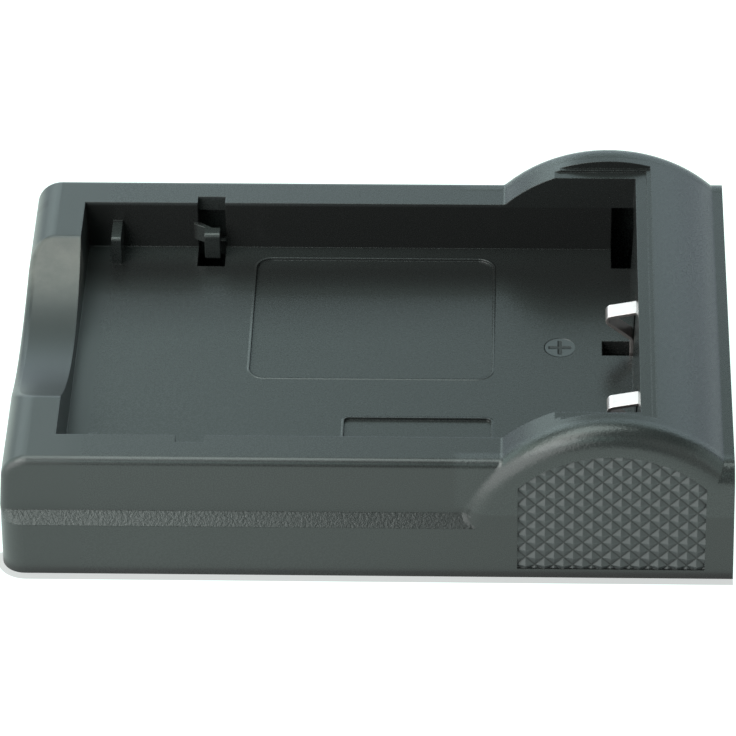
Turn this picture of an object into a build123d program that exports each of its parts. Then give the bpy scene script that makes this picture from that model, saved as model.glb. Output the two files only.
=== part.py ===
"""Battery plate of a modular camera battery charger.

Millimetres. X runs along the plate to its contact end, Y to the back, Z up.
The origin is the centre of the underside.
"""
import os
from math import ceil, radians, sqrt, tan

from build123d import *

# Battery bay
bay_length = 53.2            # at the floor
bay_width = 37.1             # at the floor
bay_depth = 5.1              # from the rim to the floor
floor_thickness = 1.6
bay_draft = 2.5              # degrees, all four walls

# Body round the bay
far_wall = 5.5               # wall at the far end, at the base
end_block = 9.1              # block behind the contacts, at the base
side_wall = 4.2
ledge_width = 1.05           # lower body and grip pads stand out by this
rim_height = 12.4
ledge_height = 5.6           # where the lower body ends
ledge_rise = 1.1             # height of the sloped ledge above it
corner_radius = 2.2          # upright corners at the far end
rim_round = 0.8              # long edges of the rim, and the corners above the ledge
far_round = 2.5              # top edge of the far end
far_draft = 4.0              # degrees, far end above the ledge
end_draft = 0.7              # degrees, both ends lean inwards
wall = 1.6

# Arched end
arch_setback = 11.3          # from the contact end to the middle of the arch
arch_radius = 14.6
arch_rise = 4.1              # crest above the rim
arch_round = 2.0             # rounding of the arch's front and back edges
flank_hollow = 0.6           # between the arch and the wall beside it
step_drop = 1.0              # flat step round the bay, below the crest
step_width = 1.05
land_rise = 0.2              # second, narrower step outside the first
land_width = 0.4

# Finger scoop in the wall at the far end
scoop_width = 25.9
scoop_depth = 3.5
scoop_round = 0.8            # its outer edge

# Shallow panels in the bay floor
panel_depth = 0.25
panel_length = 23.1
panel_width = 19.6
panel_corner = 1.5
panel_end_gap = 13.4         # from the contact end of the floor
panel_side_gap = 1.85        # from the back wall
strip_panel_length = 13.8
strip_panel_width = 4.4
strip_panel_corner = 0.5
strip_panel_side_gap = 5.0   # from the front wall

# Stops for two lengths of battery, one of each on both long walls
long_stop_gap = 3.4          # from the far wall of the bay to the fixed stop's face
rib_thickness = 0.95
rib_reach = 3.05
rib_height = 3.0
rib_round = 0.35
stop_spacing = 9.6           # from the fixed stop's face to the flexible one's
finger_thickness = 1.5
finger_depth = 1.3
finger_reach = 1.95          # from the bay wall to its bay side
finger_height = 2.75
finger_round = 0.4
finger_gap = 0.5             # free space beside the finger
notch_width = 2.7            # clearance that the finger bends into
notch_depth = 1.05
notch_bridge = 1.6           # wall left above the window behind the finger
window_depth = 2.2           # from the bay wall into the hollow side
finger_slot_ahead = 1.35     # floor slot in front of the finger
arm_thickness = 0.5
arm_height = 1.8

# Contacts
contact_y = 2.15             # middle contact
contact_pitch = 14.35
strip_width = 1.9
strip_thickness = 0.3
strip_bend = 0.45
tip_reach = 3.05             # from the bay's end wall to the bend at the tip
tip_height = 4.1             # above the bay floor
knee_height = 1.75           # where the lower leg turns into the slot
leg_length = 4.4             # upper leg, from the tip to its end
leg_rise = 0.9
riser_setback = 0.1          # upright run of the strip, from the end wall
terminal_reach = 6.5         # flat terminal, past the end wall
slot_length = 3.5
slot_clearance = 0.2
slot_overrun = 0.6           # floor slots run under the end wall
mouth_height = 5.6           # slot in the end wall, above the floor
spare_height = 4.8           # unused third place in the back corner
spare_length = 2.5
spare_width = 3.2
clamp_thickness = 1.0        # posts that press the terminals on the cover

# Grip windows in the pads
grip_margin = 2.5            # from the arch to the window
grip_half_length = 8.65
grip_base = 1.0
grip_depth = 0.25
grip_pitch = 1.75            # between the tips of the pyramids in a row
grip_first_row = 0.36        # lowest row of tips above the window's base
grip_flat = 0.08             # flat left on each tip

# Bottom cover and its screws
cover_thickness = 1.6
cover_clearance = 0.12
lip = 0.8                    # housing wall left outside the cover
window_side_land = 0.3       # cover left under each edge of a terminal
screw_far_gap = 11.9         # from the far end to the left screw
screw_near_gap = 12.8        # from the contact end of the floor to the right screw
screw_diameter = 2.0
screw_length = 4.8
screw_fit = 0.03
head_diameter = 3.8
head_height = 1.0
head_sink = 0.1              # head below the cover's face
boss_diameter = 4.6
cross_length = 2.0
cross_width = 0.45
cross_depth = 0.5

# Worked out from the sizes above
length = far_wall + bay_length + end_block
upper_width = bay_width + 2 * side_wall
width = upper_width + 2 * ledge_width
bay_floor = rim_height - bay_depth
bay_end_x = length / 2 - end_block
arch_x = length / 2 - arch_setback
arch_crest = rim_height + arch_rise
step_height = arch_crest - step_drop
long_stop_x = bay_end_x - bay_length + long_stop_gap
short_stop_x = long_stop_x + stop_spacing
clear = arch_crest           # reaches past anything that is cut
sides = (1, -1)
upwards = (Align.CENTER, Align.CENTER, Align.MIN)


def end_lean(z):
    """How far each end has leaned in at height z."""
    return z * tan(radians(end_draft))


def bay_lean(z):
    """How far each bay wall has opened out at height z."""
    return (z - bay_floor) * tan(radians(bay_draft))


def box(x0, x1, y0, y1, z0, z1):
    """Block between two corners."""
    return Pos((x0 + x1) / 2, (y0 + y1) / 2, (z0 + z1) / 2) * Box(x1 - x0, y1 - y0, z1 - z0)


def on_side(shape, side):
    """A feature of the back wall, or its mirror image on the front wall."""
    return shape if side > 0 else mirror(shape, Plane.XZ)


def side_prism(points, depth):
    """Closed outline in X and Z, extruded along Y about the middle."""
    outline = make_face(Polyline(*points, close=True))
    return extrude(Plane.XZ * outline, depth / 2, both=True)


def plan(z, plan_width, inset, corner):
    """Outline of the body at height z, rounded at the far end only."""
    outline = Rectangle(length - 2 * end_lean(z) - 2 * inset, plan_width - 2 * inset)
    if corner:
        outline = fillet(outline.vertices().group_by(Axis.X)[0], corner)
    return Pos(0, 0, z) * outline


def upper_block(inset, rim):
    """Upper body from the ledge to the rim, as far as the middle of the arch."""
    foot = ledge_height + ledge_rise
    far = end_lean(foot) + inset - length / 2
    far_top = far + (rim - foot) * tan(radians(far_draft))
    side = [(far, foot), (far_top, rim), (arch_x, rim), (arch_x, foot)]
    block = side_prism(side, upper_width - 2 * inset)
    if inset:
        return block
    block = fillet(block.edges().filter_by(Axis.Y).group_by(Axis.Z)[-1].sort_by(Axis.X)[0], far_round)
    outline = block.faces().filter_by(Axis.Y).edges()
    outline = outline.filter_by_position(Axis.Z, foot + rim_round, rim)
    return fillet(outline.filter_by_position(Axis.X, -length / 2, arch_x - rim_round), rim_round)


def tray(inset, rim):
    """Lower body, sloped ledge and upper body up to the rim."""
    corner = 0 if inset else corner_radius
    low = plan(0, width, inset, corner)
    ledge = plan(ledge_height, width, inset, corner)
    upper = upper_block(inset, rim)
    foot = upper.faces().sort_by(Axis.Z)[0]
    return loft([low, ledge], ruled=True) + loft([ledge, foot], ruled=True) + upper


def arched_end(inset, rim):
    """Round barrel across the plate, with the square shoulder behind it."""
    crest = arch_crest - inset
    start = arch_x - arch_radius
    end = length / 2 - inset
    across = width - 2 * inset
    barrel = Cylinder(arch_radius - inset, across)
    shoulder = side_prism([(arch_x, 0), (end, 0), (end - end_lean(rim), rim), (arch_x, rim)], across)
    if not inset:
        barrel = fillet(barrel.edges().filter_by(GeomType.CIRCLE), arch_round)
        shoulder = fillet(shoulder.edges().filter_by(Axis.X).group_by(Axis.Z)[-1], arch_round)
    barrel = Pos(arch_x, 0, arch_crest - arch_radius) * Rot(90, 0, 0) * barrel
    limits = side_prism([(start, 0), (end, 0), (end - end_lean(crest), crest), (start, crest)], 2 * width)
    return (barrel & limits) + shoulder


def body(inset=0.0):
    """Outer form of the housing, or the same form shrunk by a wall."""
    rim = rim_height - inset
    behind_arch = box(arch_x, length, -width, width, 0, clear)
    return tray(inset, rim) - behind_arch + arched_end(inset, rim)


def outer_form():
    """Body with the hollows beside the arch and the scoop in the far wall."""
    form = body()
    flank = form.edges().filter_by(GeomType.LINE, reverse=True)
    flank = flank.filter_by_position(Axis.X, arch_x - arch_radius, arch_x - arch_radius / 2)
    flank = flank.filter_by_position(Axis.Z, ledge_height, rim_height - rim_round)
    form = fillet(flank, flank_hollow) - scoop()
    brim = form.edges().filter_by(GeomType.LINE, reverse=True)
    brim = brim.filter_by_position(Axis.X, -length / 2, far_round - length / 2)
    return fillet(brim.filter_by_position(Axis.Y, -scoop_width / 2, scoop_width / 2), scoop_round)


def bay(grow=0.0, floor=bay_floor):
    """Battery space from a floor level upwards, opening out with the draft."""
    spread = 2 * (grow + bay_lean(floor))
    opening = Rectangle(bay_length + spread, bay_width + spread)
    return extrude(Pos(bay_end_x - bay_length / 2, 0, floor) * opening, clear, taper=-bay_draft)


def arch_step():
    """Two flat steps round the bay, where its opening cuts through the arch."""
    start = arch_x - arch_radius
    half = bay_width / 2 + bay_lean(step_height) + step_width
    end = bay_end_x + bay_lean(step_height) + step_width
    step = box(start, end, -half, half, step_height, clear + step_height)
    half += land_width
    end += land_width
    return step + box(start, end, -half, half, step_height + land_rise, clear + step_height)


def scoop(grow=0.0):
    """Round hollow for a fingertip, right across the wall at the far end."""
    radius = (scoop_width ** 2 / 4 + scoop_depth ** 2) / (2 * scoop_depth)
    bar = Rot(0, 90, 0) * Cylinder(radius + grow, far_wall)
    return Pos((far_wall - length) / 2, 0, rim_height - scoop_depth + radius) * bar


def floor_panels():
    """Two shallow rounded panels in the bay floor, level at their contact end."""
    end = bay_end_x - panel_end_gap
    back = bay_width / 2 - panel_side_gap
    front = strip_panel_side_gap - bay_width / 2
    large = Pos(end - panel_length / 2, back - panel_width / 2)
    small = Pos(end - strip_panel_length / 2, front + strip_panel_width / 2)
    outlines = large * RectangleRounded(panel_length, panel_width, panel_corner)
    outlines += small * RectangleRounded(strip_panel_length, strip_panel_width, strip_panel_corner)
    return extrude(Pos(0, 0, bay_floor - panel_depth) * outlines, bay_depth)


def stop_rib():
    """Fixed stop for the longer battery, on the back wall."""
    wall_face = bay_width / 2
    rib = box(long_stop_x - rib_thickness, long_stop_x, wall_face - rib_reach, wall_face + wall / 2,
              bay_floor - floor_thickness / 2, bay_floor + rib_height)
    bay_edge = rib.edges().filter_by(Axis.X).group_by(Axis.Z)[-1].sort_by(Axis.Y)[0]
    return fillet(bay_edge, rib_round)


def stop_finger():
    """Flexible stop for the shorter battery, hung from the back wall by a thin arm."""
    left = short_stop_x - finger_thickness
    root = short_stop_x + finger_gap - notch_width - wall / 4
    wall_face = bay_width / 2
    front = wall_face - finger_reach
    back = front + finger_depth
    top = bay_floor + finger_height
    post = box(left, short_stop_x, front, back, bay_floor, top)
    bay_edge = post.edges().filter_by(Axis.X).group_by(Axis.Z)[-1].sort_by(Axis.Y)[0]
    post = fillet(bay_edge, finger_round)
    slant = arm_thickness * sqrt(2)
    arm = make_face(Polyline((root, wall_face + slant), (root, wall_face), (left, back),
                             (left, back - slant / 2), (left + slant, back), close=True))
    return post + extrude(Pos(0, 0, top - arm_height) * arm, arm_height)


def finger_room():
    """Notch in the rim, window and floor slot that a finger bends into."""
    right = short_stop_x + finger_gap
    left = right - notch_width
    wall_face = bay_width / 2
    front = wall_face - finger_reach
    notch_back = wall_face + bay_lean(rim_height) + notch_depth
    notch = box(left, right, front + finger_depth, notch_back, bay_floor, clear)
    window = box(left, right, front, wall_face + window_depth, bay_floor, rim_height - notch_bridge)
    slot = box(left, right, front - finger_slot_ahead, wall_face + notch_depth,
               bay_floor - 2 * floor_thickness, bay_floor)
    return notch + window + slot


def contact_places():
    """Y of the middle and the front contact."""
    return contact_y, contact_y - contact_pitch


def contact_slots():
    """Floor slots and mouths for the two strips, and the unused third place."""
    half = strip_width / 2 + slot_clearance
    below = bay_floor - 2 * floor_thickness
    slot_end = bay_end_x + slot_overrun
    mouth_end = bay_end_x + bay_lean(bay_floor + mouth_height) + 2 * wall
    mouth_start = bay_end_x - riser_setback - strip_thickness
    corner = bay_width / 2
    cut = box(slot_end - spare_length, slot_end, corner - spare_width, corner + window_depth,
              below, bay_floor + spare_height)
    for y in contact_places():
        cut += box(slot_end - slot_length, slot_end, y - half, y + half, below, bay_floor + knee_height)
        cut += box(mouth_start, mouth_end, y - half, y + half, bay_floor, bay_floor + mouth_height)
    return cut


def grip_window():
    """Room for the pattern in the back grip pad, under an arc that follows the arch."""
    radius = arch_radius - grip_margin
    arch_centre = arch_crest - arch_radius
    corner = arch_centre + sqrt(radius ** 2 - grip_half_length ** 2)
    left = arch_x - grip_half_length
    right = arch_x + grip_half_length
    outline = Polyline((right, corner), (right, grip_base), (left, grip_base), (left, corner))
    outline += ThreePointArc((left, corner), (arch_x, arch_centre + radius), (right, corner))
    face_plane = Plane(origin=(0, width / 2, 0), x_dir=(1, 0, 0), z_dir=(0, -1, 0))
    return extrude(face_plane * make_face(outline), grip_depth)


def grip_grooves():
    """Crossed V-grooves in the back grip pad, cut off at the window's outline.

    Between them stand square pyramids, set corner to corner, with their tips in the pad's face.
    """
    window = grip_window()
    spacing = grip_pitch / sqrt(2)
    half = (spacing - grip_flat) / 2
    section = make_face(Polyline((-half, 0), (0, -grip_depth), (half, 0), close=True))
    groove = extrude(section, 2 * clear, both=True)
    crossing = Pos(arch_x, width / 2, grip_base + grip_first_row)
    rows = ceil((grip_half_length + arch_crest) / grip_pitch)
    grooves = []
    for turn in (45, -45):
        for row in range(-rows, rows + 1):
            clipped = crossing * Rot(0, turn, 0) * Pos(row * spacing, 0, 0) * groove & window
            if clipped:
                grooves.append(clipped)
    return grooves


def screw_places():
    """X of the two cover screws, both on the middle line."""
    return screw_far_gap - length / 2, bay_end_x - screw_near_gap


def cover_plan(inset):
    """Outline of the cover's seat, or of the cover itself."""
    return plan(0, width, inset, corner_radius - inset / 2)


def upper_housing():
    """The moulded housing as a shell, open underneath."""
    tub = bay(grow=wall, floor=bay_floor - floor_thickness)
    shell = outer_form() - (body(wall) - tub - scoop(wall))
    shell -= extrude(cover_plan(lip), cover_thickness)
    for cut in (bay(), arch_step(), floor_panels(), contact_slots()):
        shell -= cut
    grooves = grip_grooves()
    for side in sides:
        shell -= [on_side(groove, side) for groove in grooves]
        shell -= on_side(finger_room(), side)
        shell += on_side(stop_finger(), side)
        shell += on_side(stop_rib(), side)
    in_floor = bay_floor - floor_thickness / 2
    boss = Cylinder(boss_diameter / 2, in_floor - cover_thickness, align=upwards)
    bore = Cylinder(screw_diameter / 2 + screw_fit, screw_length + screw_fit, align=upwards)
    for x in screw_places():
        shell += Pos(x, 0, cover_thickness) * boss
        shell -= Pos(x, 0, 0) * bore
    clamp_end = bay_end_x + wall
    for y in contact_places():
        shell += box(clamp_end - clamp_thickness, clamp_end, y - strip_width / 2, y + strip_width / 2,
                     cover_thickness + strip_thickness, in_floor)
    return shell


def bottom_cover():
    """Flat plate in the underside, with screw holes and terminal windows."""
    plate = extrude(cover_plan(lip + cover_clearance), cover_thickness)
    hole = screw_diameter / 2 + screw_fit
    sink = head_diameter / 2 + screw_fit
    for x in screw_places():
        plate -= Pos(x, 0, 0) * Cylinder(hole, cover_thickness, align=upwards)
        plate -= Pos(x, 0, 0) * Cylinder(sink, head_sink, align=upwards)
        plate -= Pos(x, 0, head_sink) * Cone(sink, hole, head_height, align=upwards)
    start = bay_end_x + wall + strip_width / 2
    end = bay_end_x + terminal_reach - window_side_land
    half = strip_width / 2 - window_side_land
    for y in contact_places():
        plate -= box(start, end, y - half, y + half, 0, cover_thickness)
    return plate


def contact(y):
    """One bent strip: flat terminal on the cover, riser, and a sprung tip in the bay."""
    terminal_z = cover_thickness + strip_thickness / 2
    riser_x = bay_end_x - riser_setback
    tip_x = bay_end_x - tip_reach
    tip_z = bay_floor + tip_height
    path = FilletPolyline(
        (bay_end_x + terminal_reach, y, terminal_z),
        (riser_x, y, terminal_z),
        (riser_x, y, bay_floor + knee_height),
        (tip_x, y, tip_z),
        (tip_x + leg_length, y, tip_z + leg_rise),
        radius=strip_bend,
    )
    start = Plane(origin=path @ 0, x_dir=(0, 1, 0), z_dir=path % 0)
    return sweep(start * Rectangle(strip_width, strip_thickness), path)


def cover_screw(x):
    """Countersunk self-tapping screw with a cross recess, thread left plain."""
    head = Cone(head_diameter / 2, screw_diameter / 2, head_height, align=upwards)
    screw = head + Cylinder(screw_diameter / 2, screw_length - head_sink, align=upwards)
    slot = Box(cross_length, cross_width, 2 * cross_depth)
    return Pos(x, 0, head_sink) * (screw - (slot + Rot(0, 0, 90) * slot))


def main():
    """Write one file for each piece."""
    os.makedirs("parts", exist_ok=True)
    middle_y, front_y = contact_places()
    left_x, right_x = screw_places()
    pieces = {
        "upper_housing": upper_housing(),
        "bottom_cover": bottom_cover(),
        "positive_contact": contact(middle_y),
        "negative_contact": contact(front_y),
        "cover_screw_left": cover_screw(left_x),
        "cover_screw_right": cover_screw(right_x),
    }
    for name, shape in pieces.items():
        export_step(shape, f"parts/{name}.step")


main()
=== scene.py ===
# Battery plate of a modular camera battery charger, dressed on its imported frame.
# Metres: +X towards the contacts, +Y to the back, +Z up, origin under the middle of the plate.
import bpy
import math
from mathutils import Matrix, Vector

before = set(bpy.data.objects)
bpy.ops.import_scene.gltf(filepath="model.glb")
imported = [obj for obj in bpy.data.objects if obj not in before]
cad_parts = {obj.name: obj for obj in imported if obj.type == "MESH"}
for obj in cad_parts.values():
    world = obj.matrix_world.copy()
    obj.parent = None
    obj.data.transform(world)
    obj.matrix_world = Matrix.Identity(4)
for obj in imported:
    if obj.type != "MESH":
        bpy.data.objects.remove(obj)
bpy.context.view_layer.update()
scene = bpy.context.scene
mm = 0.001
edgeRays = 6                                  # rays that feel for a broken edge
print("frame loaded:", ", ".join(sorted(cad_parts)))


def addNode(tree, kind, inputs=None, **settings):
    node = tree.nodes.new(kind)
    for name, value in settings.items():
        setattr(node, name, value)
    for name, value in (inputs or {}).items():
        node.inputs[name].default_value = value
    return node


def newGroup(name, inputs, outputs):
    group = bpy.data.node_groups.new(name, "ShaderNodeTree")
    for label in inputs:
        group.interface.new_socket(label, in_out="INPUT", socket_type="NodeSocketFloat")
    for label in outputs:
        group.interface.new_socket(label, in_out="OUTPUT", socket_type="NodeSocketFloat")
    entry = addNode(group, "NodeGroupInput")
    leave = addNode(group, "NodeGroupOutput")
    return group, entry.outputs, leave.inputs


def newMaterial(name):
    material = bpy.data.materials.new(name)
    material.use_nodes = True
    tree = material.node_tree
    tree.nodes.clear()
    shader = addNode(tree, "ShaderNodeBsdfPrincipled")
    output = addNode(tree, "ShaderNodeOutputMaterial")
    tree.links.new(shader.outputs["BSDF"], output.inputs["Surface"])
    return material, tree, shader


def dress(nodeName, material):
    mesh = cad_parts[nodeName].data
    mesh.materials.clear()
    mesh.materials.append(material)


# A socket is linked, a plain value is set
def feed(tree, socket, value):
    if isinstance(value, bpy.types.NodeSocket):
        tree.links.new(value, socket)
    else:
        socket.default_value = value


def calc(tree, operation, *values):
    node = addNode(tree, "ShaderNodeMath", operation=operation)
    for slot, value in enumerate(values):
        feed(tree, node.inputs[slot], value)
    return node.outputs[0]


def product(tree, *factors):
    result = factors[0]
    for factor in factors[1:]:
        result = calc(tree, "MULTIPLY", result, factor)
    return result


def length(tree, first, second):
    squares = [calc(tree, "MULTIPLY", side, side) for side in (first, second)]
    return calc(tree, "SQRT", calc(tree, "ADD", *squares))


# Smooth ramp from 0 at start to 1 at full, in either direction
def fade(tree, value, start, full):
    limits = {"From Min": start, "From Max": full}
    node = addNode(tree, "ShaderNodeMapRange", limits, interpolation_type="SMOOTHSTEP")
    tree.links.new(value, node.inputs["Value"])
    return node.outputs["Result"]


# A zone is where all of its ramps hold, each given as axis, start and full
def zone(tree, axes, ramps):
    return product(tree, *(fade(tree, axes[axis], start, full) for axis, start, full in ramps))


def spread(tree, value, low, high):
    node = addNode(tree, "ShaderNodeMapRange", {"To Min": low, "To Max": high})
    tree.links.new(value, node.inputs["Value"])
    return node.outputs["Result"]


def blend(tree, factor, first, second):
    node = addNode(tree, "ShaderNodeMix", data_type="RGBA")
    for name, value in (("Factor", factor), ("A", first), ("B", second)):
        feed(tree, node.inputs[name], value)
    return node.outputs["Result"]


# The place in mm as a vector, and its parts as axes
def inMillimetres(tree):
    place = addNode(tree, "ShaderNodeTexCoord")
    scaled = addNode(tree, "ShaderNodeVectorMath", operation="SCALE")
    scaled.inputs["Scale"].default_value = 1.0 / mm
    tree.links.new(place.outputs["Object"], scaled.inputs[0])
    split = addNode(tree, "ShaderNodeSeparateXYZ")
    tree.links.new(scaled.outputs[0], split.inputs[0])
    axes = {name.lower(): split.outputs[name] for name in "XYZ"}
    return scaled.outputs[0], axes


def noise(tree, place, scale, detail, roughness=0.5):
    inputs = {"Scale": scale, "Detail": detail, "Roughness": roughness}
    node = addNode(tree, "ShaderNodeTexNoise", inputs)
    tree.links.new(place, node.inputs["Vector"])
    return node.outputs["Fac"]


# Relief from a height in mm, over edges broken by edgeRound mm where it is given
def carve(tree, shader, height, edgeRound=None):
    bump = addNode(tree, "ShaderNodeBump", {"Strength": 1.0, "Distance": mm})
    tree.links.new(height, bump.inputs["Height"])
    if edgeRound:
        edge = addNode(tree, "ShaderNodeBevel", {"Radius": edgeRound * mm}, samples=edgeRays)
        tree.links.new(edge.outputs["Normal"], bump.inputs["Normal"])
    tree.links.new(bump.outputs["Normal"], shader.inputs["Normal"])


# Moulded skin: fine noise for the spark-eroded grain, slow noise and specks for the clouded resin
skinLook = {
    "grain": {"scale": 5.5, "detail": 3.0, "roughness": 0.6},
    "cloud": {"scale": 0.12, "detail": 2.0},
    "specks": {"scale": 8.0, "detail": 1.0},
    "speckEdges": (0.3, 0.7),
    "speckShare": 0.5,
}


def buildMouldSkin(look):
    group, entry, leave = newGroup("mouldSkin", (), ("Grain", "Cloud"))
    place = inMillimetres(group)[0]
    group.links.new(noise(group, place, **look["grain"]), leave["Grain"])
    specks = fade(group, noise(group, place, **look["specks"]), *look["speckEdges"])
    cloud = calc(group, "MULTIPLY", noise(group, place, **look["cloud"]), 1.0 - look["speckShare"])
    group.links.new(calc(group, "MULTIPLY_ADD", specks, look["speckShare"], cloud), leave["Cloud"])
    return group


# Round polarity mark in the bay floor: disc is 1 inside the circle, sign is 1 on the two crossed bars
markShape = {
    "disc": (1.55, 1.43),                     # mm from the middle, outside and inside the edge
    "depth": (0.12, 0.08),                    # mm above or below the bay floor
    "barHalf": (0.24, 0.12),                  # mm, half width of a bar
    "barReach": (1.12, 1.0),                  # mm, half length of a bar
}


def buildPolarityMark(shape):
    labels = ("Centre X", "Centre Y", "Level")
    group, entry, leave = newGroup("polarityMark", labels, ("Disc", "Sign"))
    axes = inMillimetres(group)[1]
    dx, dy, level = (
        calc(group, "ABSOLUTE", calc(group, "SUBTRACT", axes[name], entry[label]))
        for name, label in zip("xyz", labels)
    )
    radius = length(group, dx, dy)
    disc = product(group, fade(group, radius, *shape["disc"]), fade(group, level, *shape["depth"]))
    bars = [
        product(group, fade(group, wide, *shape["barHalf"]), fade(group, long, *shape["barReach"]))
        for wide, long in ((dx, dy), (dy, dx))
    ]
    group.links.new(disc, leave["Disc"])
    group.links.new(product(group, calc(group, "MAXIMUM", *bars), disc), leave["Sign"])
    return group


# Distance in mm from a rounded rectangle's outline, below zero inside it
def buildOutline():
    labels = ("Centre X", "Centre Y", "Half X", "Half Y", "Corner")
    group, entry, leave = newGroup("outline", labels, ("Distance",))
    axes = inMillimetres(group)[1]
    beyond = []
    for name in "XY":
        apart = calc(group, "SUBTRACT", axes[name.lower()], entry["Centre " + name])
        offset = calc(group, "ABSOLUTE", apart)
        side = calc(group, "SUBTRACT", entry["Half " + name], entry["Corner"])
        beyond.append(calc(group, "SUBTRACT", offset, side))
    reach = length(group, *(calc(group, "MAXIMUM", value, 0.0) for value in beyond))
    inner = calc(group, "MINIMUM", calc(group, "MAXIMUM", *beyond), 0.0)
    distance = calc(group, "SUBTRACT", calc(group, "ADD", reach, inner), entry["Corner"])
    group.links.new(distance, leave["Distance"])
    return group


# Crossed ridges of the grip pads: the nearer of two groove families, each a triangle wave on a diagonal
def buildGripRidges():
    group, entry, leave = newGroup("gripRidges", ("Centre X", "Row", "Spacing"), ("Ridge",))
    axes = inMillimetres(group)[1]
    along = calc(group, "SUBTRACT", axes["x"], entry["Centre X"])
    rise = calc(group, "SUBTRACT", axes["z"], entry["Row"])
    half = calc(group, "MULTIPLY", entry["Spacing"], 0.5)
    waves = []
    for kind in ("ADD", "SUBTRACT"):
        diagonal = calc(group, "MULTIPLY", calc(group, kind, along, rise), math.sqrt(0.5))
        waves.append(calc(group, "PINGPONG", diagonal, half))
    group.links.new(calc(group, "MINIMUM", *waves), leave["Ridge"])
    return group


mouldSkin = buildMouldSkin(skinLook)
polarityMark = buildPolarityMark(markShape)
outline = buildOutline()
gripRidges = buildGripRidges()
print("shared effects done")

# Zones of the housing hold ramps in mm, each as axis, start and full
bayFloor = (("z", 6.98, 7.02), ("z", 7.45, 7.4))
housingLook = {
    "dark": (0.0163, 0.0182, 0.0179, 1.0),
    "pale": (0.0240, 0.0266, 0.0262, 1.0),
    "paintedLightTone": (0.031, 0.033, 0.034, 1.0),     # painted light on the rim tops and the front of the bay floor
    "paintedGripLight": (0.039, 0.042, 0.043, 1.0),    # ridges of the grip, lightened as painted light
    "lip": (0.056, 0.061, 0.062, 1.0),        # painted highlight on the lips of the panels
    "frost": (0.088, 0.083, 0.076, 1.0),      # back end of the scoop: frosted, lightened as a painted highlight
    "sandAndPaintedLight": (0.039, 0.043, 0.042, 1.0),       # sanded ledge, paler towards the far end as painted light
    "shade": (0.011, 0.011, 0.011, 1.0),      # painted shade: grooves, sign, scoop, back wall, back of the bay, contact side
    "markFace": (0.040, 0.045, 0.048, 1.0),
    "frontShare": 0.55,                       # of the painted light tone, lighter towards the front of the bay floor
    "contactShare": 0.72,                     # of the painted shade, darker towards the contact end
    "hollowShare": 0.6,                       # of the painted shade in the scoop
    "roughness": (0.25, 0.30),
    "endRough": 0.07,                         # added on the far end
    "sandRough": 0.16,                        # added on the sanded ledge
    "gripRough": 0.12,                        # added on the ridges
    "valleyRough": 0.10,                      # added in the grooves between them
    "frostRough": 0.14,                       # added on the frosted scoop and the mark
    "grainStep": 0.008,                       # mm, height of the fine grain
    "sandStep": 0.12,                         # mm, height of the sanded ledge's grain
    "sandLeft": 0.55,                         # share of that grain where the ledge is most worn
    "archStep": 0.03,                         # mm, height of the grain on the arch's front edge
    "lipStep": 0.05,                          # mm, lip round each panel
    "gripStep": 0.12,                         # steeper sides of the ridges, as a slope
    "markSink": 0.14,                         # mm, sunk disc
    "signSink": 0.14,                         # mm, bars below the disc
    "edgeRound": 0.12,                        # mm, broken edges of the moulding
    "coarse": {"scale": 3.2, "detail": 2.0, "roughness": 0.7},
    "mottle": {"scale": 0.6, "detail": 4.0, "roughness": 0.6},
    "mottleRange": (0.1, 1.3),
    "mark": {"Centre X": 17.88, "Centre Y": 2.2, "Level": 7.3},
    "ridges": {"Centre X": 22.6, "Row": 1.36, "Spacing": 1.2374},
    "valley": (0.12, 0.02),                   # mm from the middle of a groove
    "arcLevel": 1.9,                          # mm, middle of the arc over the grip
    "panels": (
        {"Centre X": -0.15, "Centre Y": 6.9, "Half X": 11.55, "Half Y": 9.8, "Corner": 1.5},
        {"Centre X": 4.5, "Centre Y": -11.35, "Half X": 6.9, "Half Y": 2.2, "Corner": 0.5},
    ),
    "lipEdges": (("gap", -0.05, 0.08), ("gap", 0.28, 0.14)),    # mm outside a panel's outline
    "zones": {
        "sanded": (("z", 5.57, 5.63), ("z", 6.73, 6.67), ("x", 9.8, 9.5), ("across", 22.75, 22.79)),
        "hollow": (("x", -28.4, -28.45), ("across", 12.95, 12.65), ("z", 8.7, 8.8)),
        "grip": (("along", 8.67, 8.65), ("z", 1.0, 1.02), ("arc", 12.12, 12.1), ("across", 23.4, 23.45)),
        # painted light: rim tops lighter than the bay floor
        "rim": (("z", 11.9, 12.3), ("z", 12.7, 12.6), ("x", 13.0, 12.0)),
        # painted shade on the bay's back wall
        "backWallShade": (("y", 18.3, 18.5), ("y", 19.6, 19.4), ("z", 12.2, 12.0)),
        "bayFloor": bayFloor,
        # painted light, lighter towards the front of the bay floor
        "bayFrontLight": bayFloor + (("across", 18.6, 18.5), ("y", 9.0, -16.0), ("x", -29.0, -28.0)),
        # painted shade on the back of the bay floor, near the back wall
        "bayBackShade": bayFloor + (("y", 2.5, 9.5), ("y", 18.2, 14.5), ("x", -28.4, -28.2)),
        "farEnd": (("x", -25.5, -29.0),),
        # towards the far end: painted light on the sanded ledge, and fuller grain
        "farSide": (("x", 8.0, -34.0),),
        "shadeTowardContacts": (("x", -24.0, 22.0),),
        "archEdge": (("across", 21.0, 21.6), ("z", 7.0, 7.5), ("x", 7.5, 9.0)),
        "scoopBack": (("y", 4.5, 10.0),),
    },
}


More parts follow.
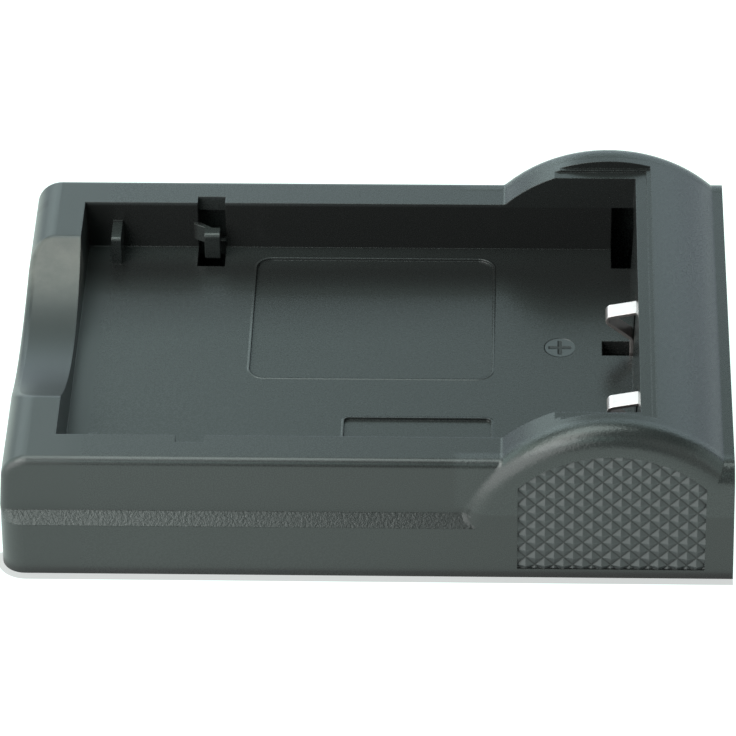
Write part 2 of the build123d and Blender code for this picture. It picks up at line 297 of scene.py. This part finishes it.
# More axes: across from the middle plane, along from the grip's middle, arc from the middle of its arc
def housingMasks(tree, place, axes, look):
    axes["across"] = calc(tree, "ABSOLUTE", axes["y"])
    axes["along"] = calc(tree, "ABSOLUTE", calc(tree, "SUBTRACT", axes["x"], look["ridges"]["Centre X"]))
    axes["arc"] = length(tree, axes["along"], calc(tree, "SUBTRACT", axes["z"], look["arcLevel"]))
    masks = {name: zone(tree, axes, ramps) for name, ramps in look["zones"].items()}
    mottle = spread(tree, noise(tree, place, **look["mottle"]), *look["mottleRange"])
    masks["frosted"] = product(tree, masks["hollow"], masks["scoopBack"], mottle)
    # Painted shade darkens the housing towards the contact end, but not the arch's front edge
    masks["shadeTowardContacts"] = product(tree, masks["shadeTowardContacts"], fade(tree, masks["archEdge"], 1.0, 0.0))
    lips = []
    for panel in look["panels"]:
        edge = addNode(tree, "ShaderNodeGroup", panel, node_tree=outline)
        lips.append(zone(tree, {"gap": edge.outputs["Distance"]}, look["lipEdges"]))
    # lips of the panels: a raised bead and a painted highlight
    masks["lip"] = product(tree, calc(tree, "MAXIMUM", *lips), masks["bayFloor"])
    return masks


def housingMaterial(name, look):
    material, tree, shader = newMaterial(name)
    place, axes = inMillimetres(tree)
    skin = addNode(tree, "ShaderNodeGroup", node_tree=mouldSkin)
    mark = addNode(tree, "ShaderNodeGroup", look["mark"], node_tree=polarityMark)
    ridges = addNode(tree, "ShaderNodeGroup", look["ridges"], node_tree=gripRidges)
    cloud = skin.outputs["Cloud"]
    ridge = ridges.outputs["Ridge"]
    disc = mark.outputs["Disc"]
    sign = mark.outputs["Sign"]
    coarse = noise(tree, place, **look["coarse"])
    masks = housingMasks(tree, place, axes, look)
    # painted shade in the grooves between the grip's ridges
    valley = product(tree, masks["grip"], fade(tree, ridge, *look["valley"]))

    # Later tones lie over earlier ones
    tone = blend(tree, cloud, look["dark"], look["pale"])
    for mask, cover in (
        (masks["rim"], "paintedLightTone"),
        (masks["lip"], "lip"),
        (product(tree, masks["bayFrontLight"], look["frontShare"]), "paintedLightTone"),
        (product(tree, masks["shadeTowardContacts"], look["contactShare"]), "shade"),
        (masks["bayBackShade"], "shade"),
        (masks["grip"], "paintedGripLight"),
        (valley, "shade"),
        (masks["backWallShade"], "shade"),
        (product(tree, masks["sanded"], masks["farSide"]), "sandAndPaintedLight"),
        (product(tree, masks["hollow"], look["hollowShare"]), "shade"),
        (masks["frosted"], "frost"),
        (disc, "markFace"),
        # painted shade in the sunk bars of the sign
        (sign, "shade"),
    ):
        tone = blend(tree, mask, tone, look[cover])
    tree.links.new(tone, shader.inputs["Base Color"])

    rough = spread(tree, cloud, *look["roughness"])
    for mask, added in (
        (masks["sanded"], "sandRough"),
        (masks["farEnd"], "endRough"),
        (masks["grip"], "gripRough"),
        (valley, "valleyRough"),
        (calc(tree, "MAXIMUM", masks["frosted"], disc), "frostRough"),
    ):
        rough = calc(tree, "MULTIPLY_ADD", mask, look[added], rough)
    tree.links.new(rough, shader.inputs["Roughness"])

    worn = spread(tree, masks["farSide"], look["sandLeft"], 1.0)
    height = calc(tree, "MULTIPLY", skin.outputs["Grain"], look["grainStep"])
    for relief, step in (
        (product(tree, masks["sanded"], worn, coarse), look["sandStep"]),
        (product(tree, masks["archEdge"], coarse), look["archStep"]),
        (product(tree, masks["grip"], ridge), look["gripStep"]),
        (masks["lip"], look["lipStep"]),
        (disc, -look["markSink"]),
        (sign, -look["signSink"]),
    ):
        height = calc(tree, "MULTIPLY_ADD", relief, step, height)
    carve(tree, shader, height, look["edgeRound"])
    return material


dress("upper_housing", housingMaterial("housingPlastic", housingLook))
print("housing dressed")

# Bottom cover: the same resin from a coarser mould
coverLook = {
    "dark": (0.014, 0.0155, 0.0152, 1.0),
    "pale": (0.018, 0.0198, 0.0195, 1.0),
    "roughness": 0.46,
    "grain": {"scale": 3.5, "detail": 3.0, "roughness": 0.6},
    "grainStep": 0.012,                       # mm
}


def coverMaterial(name, look):
    material, tree, shader = newMaterial(name)
    place = inMillimetres(tree)[0]
    skin = addNode(tree, "ShaderNodeGroup", node_tree=mouldSkin)
    tone = blend(tree, skin.outputs["Cloud"], look["dark"], look["pale"])
    tree.links.new(tone, shader.inputs["Base Color"])
    shader.inputs["Roughness"].default_value = look["roughness"]
    grain = noise(tree, place, **look["grain"])
    carve(tree, shader, calc(tree, "MULTIPLY", grain, look["grainStep"]))
    return material


dress("bottom_cover", coverMaterial("coverPlastic", coverLook))

# Plated metal: fine drawn lines, stretched along the piece, and dull spots
platingLook = {
    "lines": {"scale": 1.0, "detail": 3.0, "roughness": 0.6},
    "spots": {"scale": 1.6, "detail": 4.0, "roughness": 0.65},
    "spotEdges": (0.48, 0.72),
    "edgeRound": 0.06,                        # mm
}
# Contacts: satin nickel, with the lines of the rolled strip along its length
contactLook = {
    "bright": (0.90, 0.76, 0.75, 1.0),
    "dull": (0.84, 0.70, 0.69, 1.0),
    "roughness": (0.30, 0.36),
    "stretch": (0.8, 14.0, 0.8),
    "lineStep": 0.0002,                       # mm
}
# Screws: zinc plate, a little yellow where it is thick
screwLook = {
    "bright": (0.56, 0.56, 0.55, 1.0),
    "dull": (0.46, 0.44, 0.38, 1.0),
    "roughness": (0.24, 0.42),
    "stretch": (3.0, 3.0, 9.0),
    "lineStep": 0.004,                        # mm
}


def platedMaterial(name, look, plating):
    material, tree, shader = newMaterial(name)
    place = inMillimetres(tree)[0]
    drawn = addNode(tree, "ShaderNodeVectorMath", operation="MULTIPLY")
    drawn.inputs[1].default_value = look["stretch"]
    tree.links.new(place, drawn.inputs[0])
    lines = noise(tree, drawn.outputs[0], **plating["lines"])
    spots = fade(tree, noise(tree, place, **plating["spots"]), *plating["spotEdges"])
    tree.links.new(blend(tree, spots, look["bright"], look["dull"]), shader.inputs["Base Color"])
    shader.inputs["Metallic"].default_value = 1.0
    rough = spread(tree, calc(tree, "MAXIMUM", lines, spots), *look["roughness"])
    tree.links.new(rough, shader.inputs["Roughness"])
    carve(tree, shader, calc(tree, "MULTIPLY", lines, look["lineStep"]), plating["edgeRound"])
    return material


contactNickel = platedMaterial("contactNickel", contactLook, platingLook)
dress("positive_contact", contactNickel)
dress("negative_contact", contactNickel)
screwZinc = platedMaterial("screwZinc", screwLook, platingLook)
dress("cover_screw_left", screwZinc)
dress("cover_screw_right", screwZinc)
print("materials done")

# Floor: white sheet that glows like a lit table, with a painted contact shadow as a thin grey line along
# the front of the plate
floorLook = {
    "half": 2.0,                              # m
    "color": (0.10, 0.10, 0.10, 1.0),
    "roughness": 0.9,
    "glow": (1.06, 1.26, 1.19, 1.0),
    "line": (0.53, 0.54, 0.537, 1.0),
    "lineEdge": (("gap", 0.95, 0.85),),       # mm, outer edge of the painted shadow
    # The painted shadow's inner outline in mm: it runs on past the right end, where the front's ramps
    # stop it
    "foot": {"Centre X": 5.2, "Centre Y": 0.0, "Half X": 38.7, "Half Y": 23.8, "Corner": 2.0},
    "front": (("y", -20.5, -21.0), ("x", 33.95, 33.85)),
}


def floorMaterial(name, look):
    material, tree, shader = newMaterial(name)
    axes = inMillimetres(tree)[1]
    foot = addNode(tree, "ShaderNodeGroup", look["foot"], node_tree=outline)
    axes["gap"] = foot.outputs["Distance"]
    line = zone(tree, axes, look["lineEdge"] + look["front"])
    shader.inputs["Base Color"].default_value = look["color"]
    shader.inputs["Roughness"].default_value = look["roughness"]
    tree.links.new(blend(tree, line, look["glow"], look["line"]), shader.inputs["Emission Color"])
    shader.inputs["Emission Strength"].default_value = 1.0
    return material


def buildFloor(look):
    half = look["half"]
    corners = [(-half, -half, 0), (half, -half, 0), (half, half, 0), (-half, half, 0)]
    mesh = bpy.data.meshes.new("floor")
    mesh.from_pydata(corners, [], [(0, 1, 2, 3)])
    mesh.materials.append(floorMaterial("floorSheet", look))
    floor = bpy.data.objects.new("floor", mesh)
    scene.collection.objects.link(floor)


buildFloor(floorLook)

# Light tent: panels seen from the plate, as turn (0 right, 90 behind) and rise over the floor in degrees,
# how wide and high they look in degrees, their brightness and their tint
lightLook = {
    "top": {"turn": 138, "rise": 75, "span": (36, 34), "glow": 4.7, "tint": (0.85, 1.0, 0.95)},
    "topLeft": {"turn": 205, "rise": 62, "span": (30, 20), "glow": 4.4, "tint": (0.95, 1.0, 0.95)},
    "leftHigh": {"turn": 180, "rise": 45, "span": (40, 18), "glow": 1.6, "tint": (0.75, 1.0, 0.85)},
    "leftFront": {"turn": 222, "rise": 45, "span": (36, 18), "glow": 7.0, "tint": (0.95, 1.0, 0.98)},
    "front": {"turn": 255, "rise": 45, "span": (24, 18), "glow": 1.3, "tint": (0.6, 1.0, 0.9)},
    "leftLow": {"turn": 219, "rise": 18, "span": (72, 36), "glow": 3.3, "tint": (0.95, 1.0, 0.98)},
    "leftBack": {"turn": 160, "rise": 18, "span": (36, 36), "glow": 2.1, "tint": (0.75, 1.0, 0.95)},
    "back": {"turn": 84, "rise": 9, "span": (100, 18), "glow": 1.2, "tint": (0.75, 0.9, 1.0)},
    "backHigh": {"turn": 77, "rise": 27, "span": (60, 18), "glow": 1.7, "tint": (0.75, 0.95, 1.0)},
    "backLeft": {"turn": 122, "rise": 27, "span": (30, 18), "glow": 2.4, "tint": (0.8, 1.0, 1.0)},
    "backTop": {"turn": 90, "rise": 45, "span": (56, 18), "glow": 0.8, "tint": (0.75, 1.0, 0.95)},
    "right": {"turn": 0, "rise": 18, "span": (60, 36), "glow": 1.2, "tint": (0.8, 1.0, 0.95)},
    "frontRight": {"turn": 315, "rise": 25, "span": (40, 50), "glow": 0.5, "tint": (0.95, 1.0, 0.95)},
}
# The tent's cloth between the panels: white to the camera, dim to the plate
tentLook = {
    "radius": 0.45,                           # m
    "backdrop": {"Color": (1.0, 1.0, 1.0, 1.0), "Strength": 1.0},
    "room": {"Color": (0.85, 1.0, 0.95, 1.0), "Strength": 0.03},
}


def buildLights(panels, radius):
    for name, panel in panels.items():
        turn = math.radians(panel["turn"])
        rise = math.radians(panel["rise"])
        flat = math.cos(rise)
        outward = Vector((math.cos(turn) * flat, math.sin(turn) * flat, math.sin(rise)))
        wide, high = (2 * radius * math.tan(math.radians(angle / 2)) for angle in panel["span"])
        lamp = bpy.data.lights.new(name, "AREA")
        lamp.shape = "RECTANGLE"
        lamp.size = wide
        lamp.size_y = high
        lamp.energy = math.pi * wide * high * panel["glow"]    # so it looks as bright as its glow
        lamp.color = panel["tint"]
        holder = bpy.data.objects.new(name, lamp)
        holder.location = outward * radius
        holder.rotation_euler = (-outward).to_track_quat("-Z", "Y").to_euler()
        scene.collection.objects.link(holder)


def buildWorld(look):
    world = bpy.data.worlds.new("studio")
    scene.world = world
    world.use_nodes = True
    tree = world.node_tree
    tree.nodes.clear()
    path = addNode(tree, "ShaderNodeLightPath")
    pick = addNode(tree, "ShaderNodeMixShader")
    out = addNode(tree, "ShaderNodeOutputWorld")
    tree.links.new(path.outputs["Is Camera Ray"], pick.inputs["Fac"])
    for slot, name in ((1, "room"), (2, "backdrop")):
        cloth = addNode(tree, "ShaderNodeBackground", look[name])
        tree.links.new(cloth.outputs[0], pick.inputs[slot])
    tree.links.new(pick.outputs[0], out.inputs["Surface"])


buildLights(lightLook, tentLook["radius"])
buildWorld(tentLook)

# Camera: fitted to the photograph's edges, with the lens axis in the middle of the picture
cameraLook = {
    "elevation": 36.5,                        # degrees, as the next two
    "azimuth": 2.1024,
    "roll": -0.8115,
    "distance": 493.45,                       # mm
    "target": (-0.3675, -2.2567, 8.0),        # mm
    "sensor": 36,                             # mm, as the lens
    "lens": 253.95,
    "clip": (0.01, 50),                       # m
}


def buildCamera(look):
    tilt, turn, roll = (math.radians(look[key]) for key in ("elevation", "azimuth", "roll"))
    flat = math.cos(tilt)
    ahead = Vector((-math.sin(turn) * flat, math.cos(turn) * flat, -math.sin(tilt)))
    right = Vector((math.cos(turn), math.sin(turn), 0))
    up = right.cross(ahead)
    side = right * math.cos(roll) + up * math.sin(roll)
    top = up * math.cos(roll) - right * math.sin(roll)
    lens = bpy.data.cameras.new("camera")
    lens.sensor_width = look["sensor"]
    lens.sensor_fit = "HORIZONTAL"
    lens.lens = look["lens"]
    lens.clip_start, lens.clip_end = look["clip"]
    camera = bpy.data.objects.new("camera", lens)
    eye = (Vector(look["target"]) - ahead * look["distance"]) * mm
    facing = Matrix((side, top, -ahead)).transposed().to_4x4()
    camera.matrix_world = Matrix.Translation(eye) @ facing
    scene.collection.objects.link(camera)
    scene.camera = camera


buildCamera(cameraLook)
scene.view_settings.view_transform = "Standard"
scene.view_settings.look = "None"
print("stage done")
